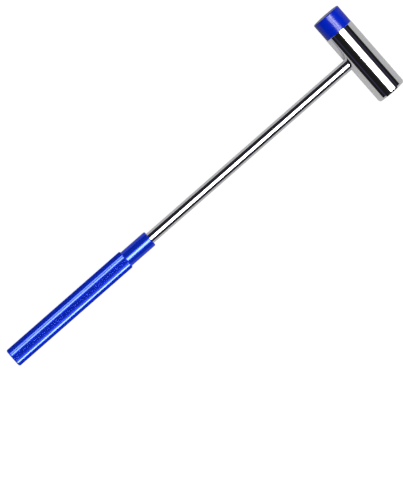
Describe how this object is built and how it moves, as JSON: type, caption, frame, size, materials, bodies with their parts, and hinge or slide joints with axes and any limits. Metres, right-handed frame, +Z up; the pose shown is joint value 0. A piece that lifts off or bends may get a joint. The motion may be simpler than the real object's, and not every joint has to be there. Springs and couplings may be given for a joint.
{
  "type": "reflex hammer",
  "caption": "Slim reflex hammer: chromed barrel head with one bare metal face and one blue moulded tip, plain chromed shaft, blue handle with a lengthwise-ridged grip.",
  "frame": {"origin": "on the surface that the hammer lies on, under the middle of its box", "axes": "+X along the shaft from the butt to the head, +Y along the head from the bare face to the moulded tip, +Z up"},
  "size_m": [0.2384, 0.0506, 0.016],
  "materials": {
    "chromed_steel": "polished chrome plate on steel",
    "plain_steel": "machined, unplated",
    "blue_polymer": "moulded blue polymer, satin gloss",
    "blue_anodised": "blue anodised aluminium, ridged grip and smooth neck"
  },
  "bodies": {
    "hammer": {"head_barrel": "chromed_steel", "shaft_lock_screw": "plain_steel", "shaft": "chromed_steel", "handle": "blue_anodised"},
    "stud": {"tip_stud": "plain_steel"},
    "tip": {"striking_tip": "blue_polymer"}
  },
  "joints": [
    {"name": "tip_unscrew", "type": "slide", "parent": "hammer", "child": "stud", "axis": [0, 1, 0], "range_m": [0, 0.007]},
    {"name": "tip_turn", "type": "hinge", "parent": "stud", "child": "tip", "pos_m": [0.11125, 0.0204, 0.008], "axis": [0, 1, 0], "range_deg": [0, 2530]}
  ],
  "couplings": [
    {"joint": "tip_turn", "follows": "tip_unscrew", "rad_per_m": 6283.2}
  ]
}
